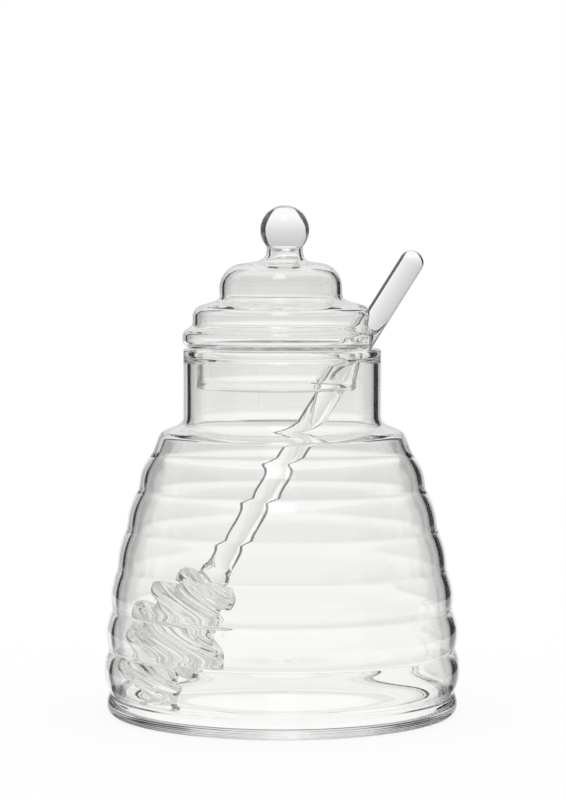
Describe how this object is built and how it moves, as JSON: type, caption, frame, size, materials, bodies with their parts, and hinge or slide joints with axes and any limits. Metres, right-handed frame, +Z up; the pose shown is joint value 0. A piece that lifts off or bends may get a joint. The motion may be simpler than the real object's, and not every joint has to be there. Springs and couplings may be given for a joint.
{
  "type": "honey pot",
  "caption": "Clear glass honey pot shaped like a beehive: ribbed round jar, lift-off stepped lid with a ball knob and a side notch, and a leaning ringed dipper.",
  "frame": {"origin": "on the surface that the pot stands on, at the jar's centre line", "axes": "+Z up along the jar's centre line; +X towards the lid's notch, where the dipper's handle comes out; the picture looks along +Y"},
  "size_m": [0.1048, 0.1048, 0.1493],
  "materials": {
    "jar_glass": "clear, polished by fire",
    "lid_glass": "clear, polished by fire",
    "knob_glass": "clear, polished by fire",
    "head_glass": "clear, polished by fire",
    "handle_glass": "clear, polished by fire"
  },
  "bodies": {
    "jar": {"jar_body": "jar_glass"},
    "lid": {"lid_shell": "lid_glass", "lid_knob": "knob_glass"},
    "dipper": {"dipper_head": "head_glass", "dipper_handle": "handle_glass"}
  },
  "joints": [
    {"name": "lid_lift", "type": "slide", "parent": "jar", "child": "lid", "axis": [0, 0, 1], "range_m": [0, 0.06]},
    {"name": "dipper_slide", "type": "slide", "parent": "jar", "child": "dipper", "axis": [0.5323, 0, 0.8466], "range_m": [0, 0.045]}
  ]
}
